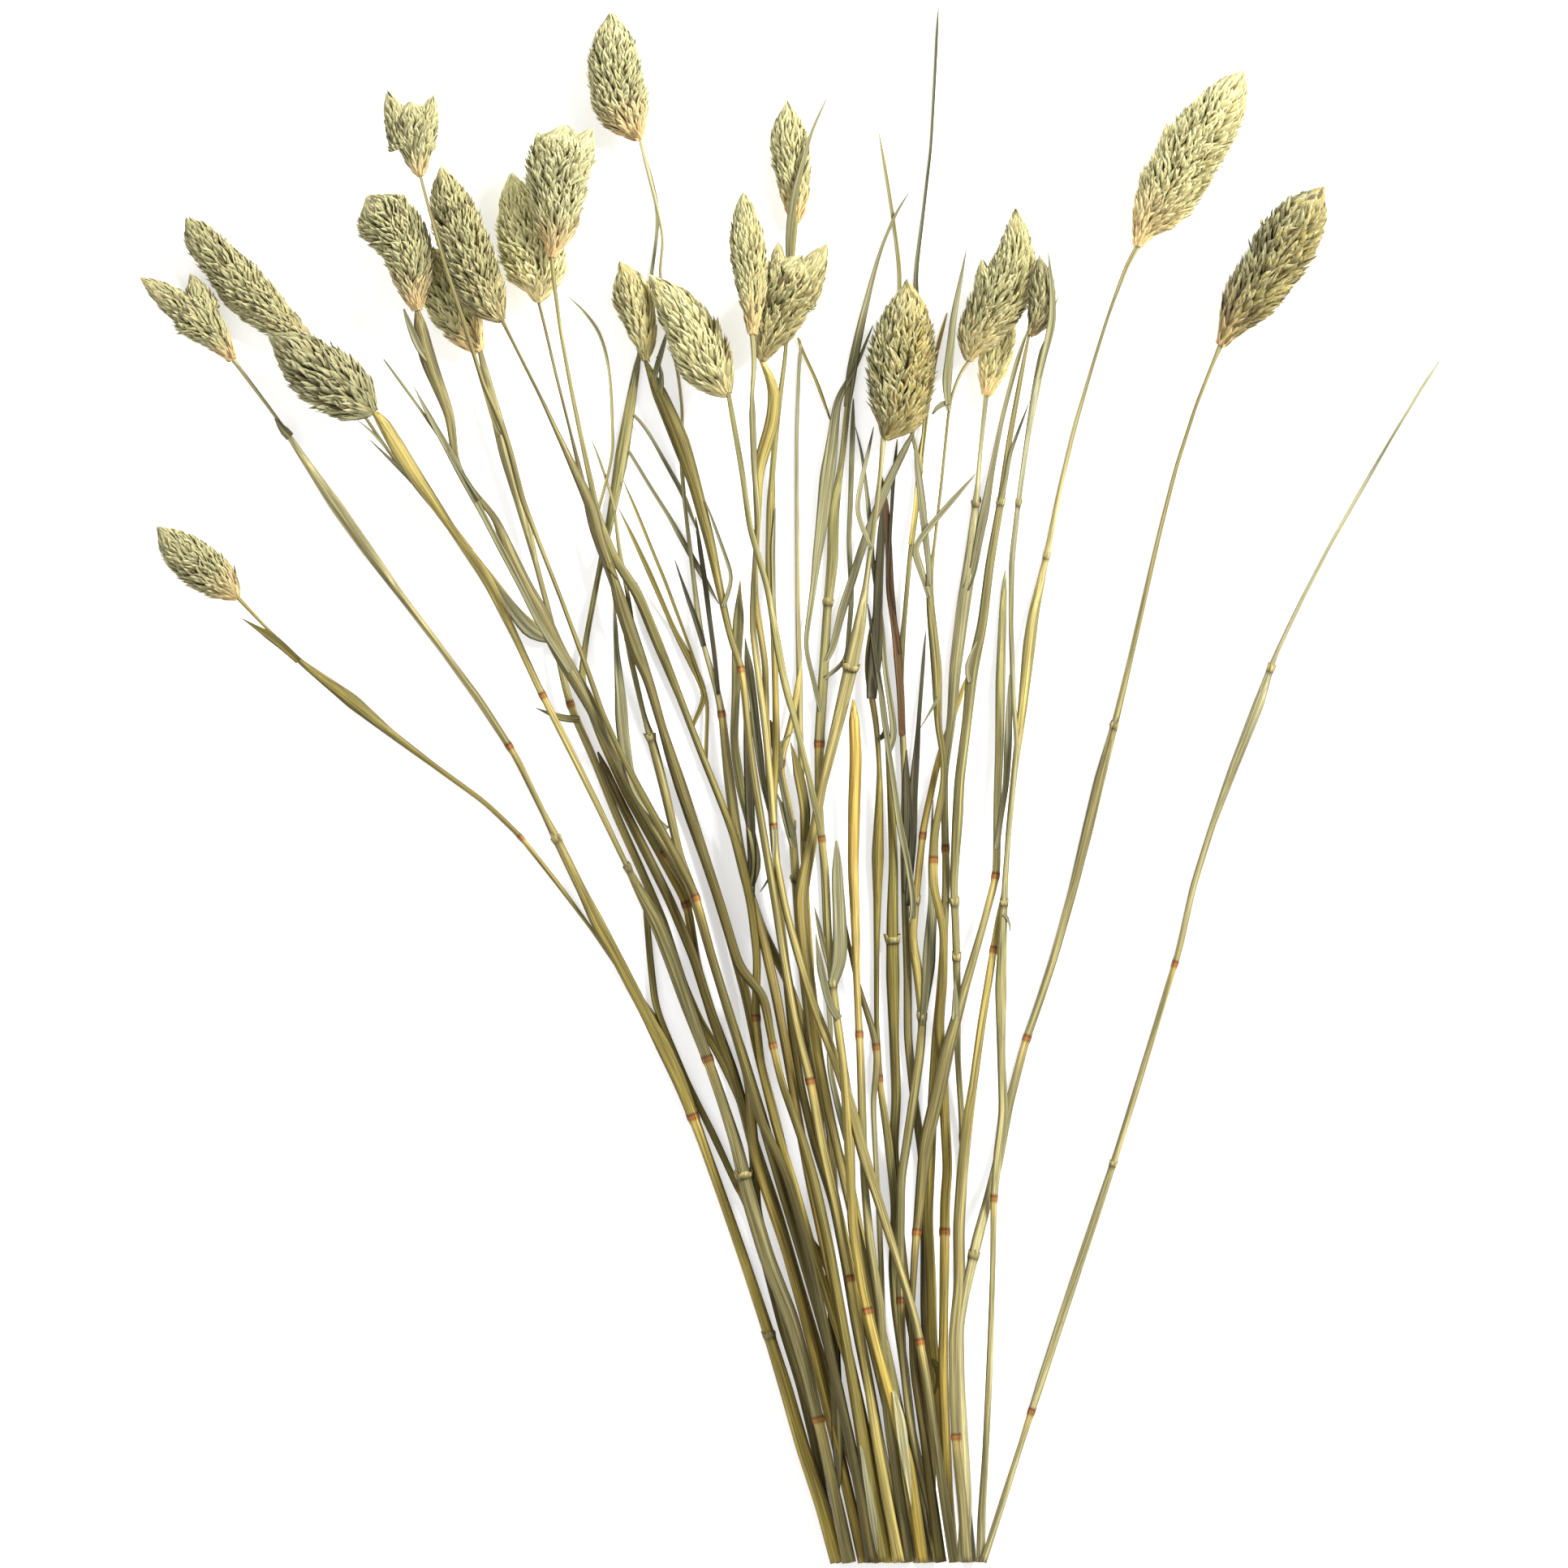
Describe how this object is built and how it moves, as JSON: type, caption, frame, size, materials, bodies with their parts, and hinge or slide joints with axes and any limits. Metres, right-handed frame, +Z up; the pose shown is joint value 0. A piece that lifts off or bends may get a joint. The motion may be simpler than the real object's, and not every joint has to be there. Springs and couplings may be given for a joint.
{
  "type": "dried grass bunch",
  "caption": "Loose bunch of dried canary grass lying flat: slender leafy stems fan out from cut ends to plump oval seed heads of overlapping pointed scales.",
  "frame": {"origin": "centre of the bounding box's base, on the surface the bunch lies on", "axes": "+Y runs along the stems from the cut ends to the heads, +Z is up from the surface, +X is to the right as the picture shows the bunch"},
  "size_m": [0.3186, 0.384, 0.0288],
  "materials": {
    "dried_head": "matt dried chaff, pale green-cream",
    "dried_stem": "matt dried straw, yellow-green to olive"
  },
  "bodies": {
    "root": {"head_a": "dried_head", "head_b": "dried_head", "head_c": "dried_head", "head_d": "dried_head", "head_e": "dried_head", "head_f": "dried_head", "head_g": "dried_head", "head_h": "dried_head", "head_i": "dried_head", "head_j": "dried_head", "head_k": "dried_head", "head_l": "dried_head", "head_m": "dried_head", "head_n": "dried_head", "head_o": "dried_head", "head_p": "dried_head", "head_q": "dried_head", "head_r": "dried_head", "head_s": "dried_head", "head_t": "dried_head", "head_u": "dried_head", "head_v": "dried_head", "stem_a": "dried_stem", "stem_b": "dried_stem", "stem_c": "dried_stem", "stem_d": "dried_stem", "stem_e": "dried_stem", "stem_f": "dried_stem", "stem_g": "dried_stem", "stem_h": "dried_stem", "stem_i": "dried_stem", "stem_j": "dried_stem", "stem_k": "dried_stem", "stem_l": "dried_stem", "stem_m": "dried_stem", "stem_n": "dried_stem", "stem_o": "dried_stem", "stem_p": "dried_stem", "stem_q": "dried_stem", "stem_r": "dried_stem", "stem_s": "dried_stem", "stem_t": "dried_stem", "stem_u": "dried_stem", "stem_v": "dried_stem", "stem_w0": "dried_stem", "stem_w1": "dried_stem", "stem_w10": "dried_stem", "stem_w11": "dried_stem", "stem_w12": "dried_stem", "stem_w13": "dried_stem", "stem_w14": "dried_stem", "stem_w15": "dried_stem", "stem_w2": "dried_stem", "stem_w3": "dried_stem", "stem_w4": "dried_stem", "stem_w5": "dried_stem", "stem_w6": "dried_stem", "stem_w7": "dried_stem", "stem_w8": "dried_stem", "stem_w9": "dried_stem"}
  },
  "joints": []
}
